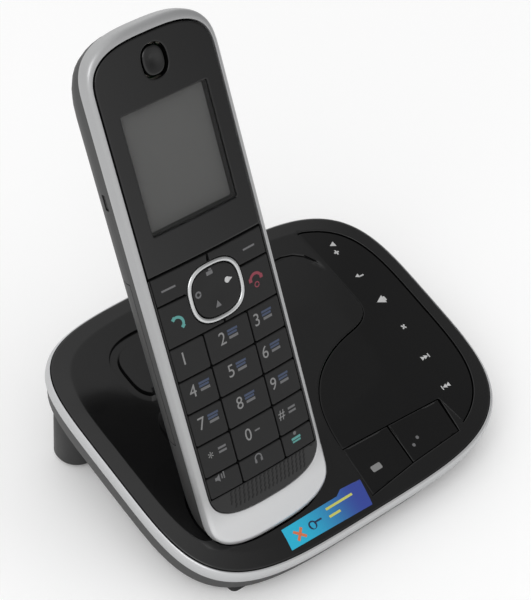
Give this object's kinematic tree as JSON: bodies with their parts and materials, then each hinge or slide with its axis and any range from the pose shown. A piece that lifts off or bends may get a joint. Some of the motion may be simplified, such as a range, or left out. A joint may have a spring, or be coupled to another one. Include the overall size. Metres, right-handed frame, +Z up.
{
  "type": "cordless phone with base",
  "caption": "Cordless telephone handset leaning in a tilted charging base with an answering-machine control strip.",
  "frame": {"origin": "middle of the phone's footprint box, on the desk surface under the foot pads", "axes": "+X to the user's right, +Y towards the back, +Z up; the handset leans back towards +Y"},
  "size_m": [0.137, 0.1052, 0.1661],
  "materials": {
    "gloss_black": "gloss black moulding, polished",
    "key_black": "satin black key caps with printed marks",
    "silver": "satin silver painted plastic",
    "dark_grey": "fine-textured dark grey moulding",
    "display": "grey liquid crystal display",
    "rubber": "black silicone and rubber",
    "board": "green circuit board",
    "contact_metal": "bright plated metal",
    "inner_plastic": "plain black inner moulding",
    "cell": "printed sleeve over a steel can"
  },
  "bodies": {
    "base_unit": {"base_top_cover": "gloss_black", "control_panel": "gloss_black", "base_rim": "silver", "base_lower_case": "dark_grey", "cradle_pocket": "inner_plastic", "base_circuit_board": "board", "base_speaker": "inner_plastic", "line_jack": "inner_plastic", "power_jack": "inner_plastic", "base_screw_1": "contact_metal", "base_screw_2": "contact_metal", "rear_stand": "dark_grey", "foot_pad_front_left": "rubber", "foot_pad_front_right": "rubber", "foot_pad_rear_left": "rubber", "foot_pad_rear_right": "rubber"},
    "handset": {"handset_frame": "silver", "handset_front_cover": "gloss_black", "display_lens": "gloss_black", "lcd_module": "display", "earpiece_insert": "gloss_black", "earpiece_receiver": "contact_metal", "microphone": "contact_metal", "keypad_mat": "rubber", "handset_circuit_board": "board", "handset_rear_cover": "dark_grey", "battery_tray": "inner_plastic", "battery_left": "cell", "battery_right": "cell", "handsfree_speaker": "inner_plastic", "handset_contact_left": "contact_metal", "handset_contact_right": "contact_metal", "headset_jack_cover": "rubber", "nav_ring": "silver"},
    "battery_door": {"battery_door": "dark_grey"},
    "nav_actuator": {"nav_actuator": "inner_plastic"},
    "nav_key": {"nav_key": "key_black"},
    "locator_key": {"locator_key": "gloss_black"},
    "answer_key": {"answer_key": "gloss_black"},
    "charge_spring_left": {"charge_spring_left": "contact_metal"},
    "charge_spring_right": {"charge_spring_right": "contact_metal"},
    "softkey_left": {"softkey_left": "key_black"},
    "softkey_right": {"softkey_right": "key_black"},
    "talk_key": {"talk_key": "key_black"},
    "off_key": {"off_key": "key_black"},
    "key_1": {"key_1": "key_black"},
    "key_2": {"key_2": "key_black"},
    "key_3": {"key_3": "key_black"},
    "key_4": {"key_4": "key_black"},
    "key_5": {"key_5": "key_black"},
    "key_6": {"key_6": "key_black"},
    "key_7": {"key_7": "key_black"},
    "key_8": {"key_8": "key_black"},
    "key_9": {"key_9": "key_black"},
    "key_star": {"key_star": "key_black"},
    "key_0": {"key_0": "key_black"},
    "key_hash": {"key_hash": "key_black"},
    "key_mute": {"key_mute": "key_black"},
    "key_handsfree": {"key_handsfree": "key_black"},
    "key_message": {"key_message": "key_black"}
  },
  "joints": [
    {"name": "handset_lift", "type": "slide", "parent": "base_unit", "child": "handset", "axis": [0, 0.4462, 0.8949], "range_m": [0, 0.06]},
    {"name": "battery_door_lift", "type": "slide", "parent": "handset", "child": "battery_door", "axis": [0, 0.8949, -0.4462], "range_m": [0, 0.008]},
    {"name": "softkey_left_press", "type": "slide", "parent": "handset", "child": "softkey_left", "axis": [0, 0.8949, -0.4462], "range_m": [0, 0.0003], "stiffness_N_per_m": 1500},
    {"name": "softkey_right_press", "type": "slide", "parent": "handset", "child": "softkey_right", "axis": [0, 0.8949, -0.4462], "range_m": [0, 0.0003], "stiffness_N_per_m": 1500},
    {"name": "talk_key_press", "type": "slide", "parent": "handset", "child": "talk_key", "axis": [0, 0.8949, -0.4462], "range_m": [0, 0.0003], "stiffness_N_per_m": 1500},
    {"name": "off_key_press", "type": "slide", "parent": "handset", "child": "off_key", "axis": [0, 0.8949, -0.4462], "range_m": [0, 0.0003], "stiffness_N_per_m": 1500},
    {"name": "key_1_press", "type": "slide", "parent": "handset", "child": "key_1", "axis": [0, 0.8949, -0.4462], "range_m": [0, 0.0003], "stiffness_N_per_m": 1500},
    {"name": "key_2_press", "type": "slide", "parent": "handset", "child": "key_2", "axis": [0, 0.8949, -0.4462], "range_m": [0, 0.0003], "stiffness_N_per_m": 1500},
    {"name": "key_3_press", "type": "slide", "parent": "handset", "child": "key_3", "axis": [0, 0.8949, -0.4462], "range_m": [0, 0.0003], "stiffness_N_per_m": 1500},
    {"name": "key_4_press", "type": "slide", "parent": "handset", "child": "key_4", "axis": [0, 0.8949, -0.4462], "range_m": [0, 0.0003], "stiffness_N_per_m": 1500},
    {"name": "key_5_press", "type": "slide", "parent": "handset", "child": "key_5", "axis": [0, 0.8949, -0.4462], "range_m": [0, 0.0003], "stiffness_N_per_m": 1500},
    {"name": "key_6_press", "type": "slide", "parent": "handset", "child": "key_6", "axis": [0, 0.8949, -0.4462], "range_m": [0, 0.0003], "stiffness_N_per_m": 1500},
    {"name": "key_7_press", "type": "slide", "parent": "handset", "child": "key_7", "axis": [0, 0.8949, -0.4462], "range_m": [0, 0.0003], "stiffness_N_per_m": 1500},
    {"name": "key_8_press", "type": "slide", "parent": "handset", "child": "key_8", "axis": [0, 0.8949, -0.4462], "range_m": [0, 0.0003], "stiffness_N_per_m": 1500},
    {"name": "key_9_press", "type": "slide", "parent": "handset", "child": "key_9", "axis": [0, 0.8949, -0.4462], "range_m": [0, 0.0003], "stiffness_N_per_m": 1500},
    {"name": "key_star_press", "type": "slide", "parent": "handset", "child": "key_star", "axis": [0, 0.8949, -0.4462], "range_m": [0, 0.0003], "stiffness_N_per_m": 1500},
    {"name": "key_0_press", "type": "slide", "parent": "handset", "child": "key_0", "axis": [0, 0.8949, -0.4462], "range_m": [0, 0.0003], "stiffness_N_per_m": 1500},
    {"name": "key_hash_press", "type": "slide", "parent": "handset", "child": "key_hash", "axis": [0, 0.8949, -0.4462], "range_m": [0, 0.0003], "stiffness_N_per_m": 1500},
    {"name": "key_mute_press", "type": "slide", "parent": "handset", "child": "key_mute", "axis": [0, 0.8949, -0.4462], "range_m": [0, 0.0003], "stiffness_N_per_m": 1500},
    {"name": "key_handsfree_press", "type": "slide", "parent": "handset", "child": "key_handsfree", "axis": [0, 0.8949, -0.4462], "range_m": [0, 0.0003], "stiffness_N_per_m": 1500},
    {"name": "key_message_press", "type": "slide", "parent": "handset", "child": "key_message", "axis": [0, 0.8949, -0.4462], "range_m": [0, 0.0003], "stiffness_N_per_m": 1500},
    {"name": "nav_tilt_up_down", "type": "hinge", "parent": "handset", "child": "nav_actuator", "pos_m": [-0.0347, -0.00289, 0.09016], "axis": [1, 0, 0], "range_deg": [-1.8, 1.8], "stiffness_Nm_per_rad": 0.05},
    {"name": "nav_tilt_left_right", "type": "hinge", "parent": "nav_actuator", "child": "nav_key", "pos_m": [-0.0347, -0.00352, 0.09047], "axis": [0, 0.4462, 0.8949], "range_deg": [-1.8, 1.8], "stiffness_Nm_per_rad": 0.05},
    {"name": "locator_key_press", "type": "slide", "parent": "base_unit", "child": "locator_key", "axis": [0, 0.2588, -0.9659], "range_m": [0, 0.0004], "stiffness_N_per_m": 1500},
    {"name": "answer_key_press", "type": "slide", "parent": "base_unit", "child": "answer_key", "axis": [0, 0.2588, -0.9659], "range_m": [0, 0.0004], "stiffness_N_per_m": 1500},
    {"name": "charge_spring_left_press", "type": "slide", "parent": "base_unit", "child": "charge_spring_left", "axis": [0, -0.4462, -0.8949], "range_m": [0, 0.001], "stiffness_N_per_m": 400},
    {"name": "charge_spring_right_press", "type": "slide", "parent": "base_unit", "child": "charge_spring_right", "axis": [0, -0.4462, -0.8949], "range_m": [0, 0.001], "stiffness_N_per_m": 400}
  ]
}
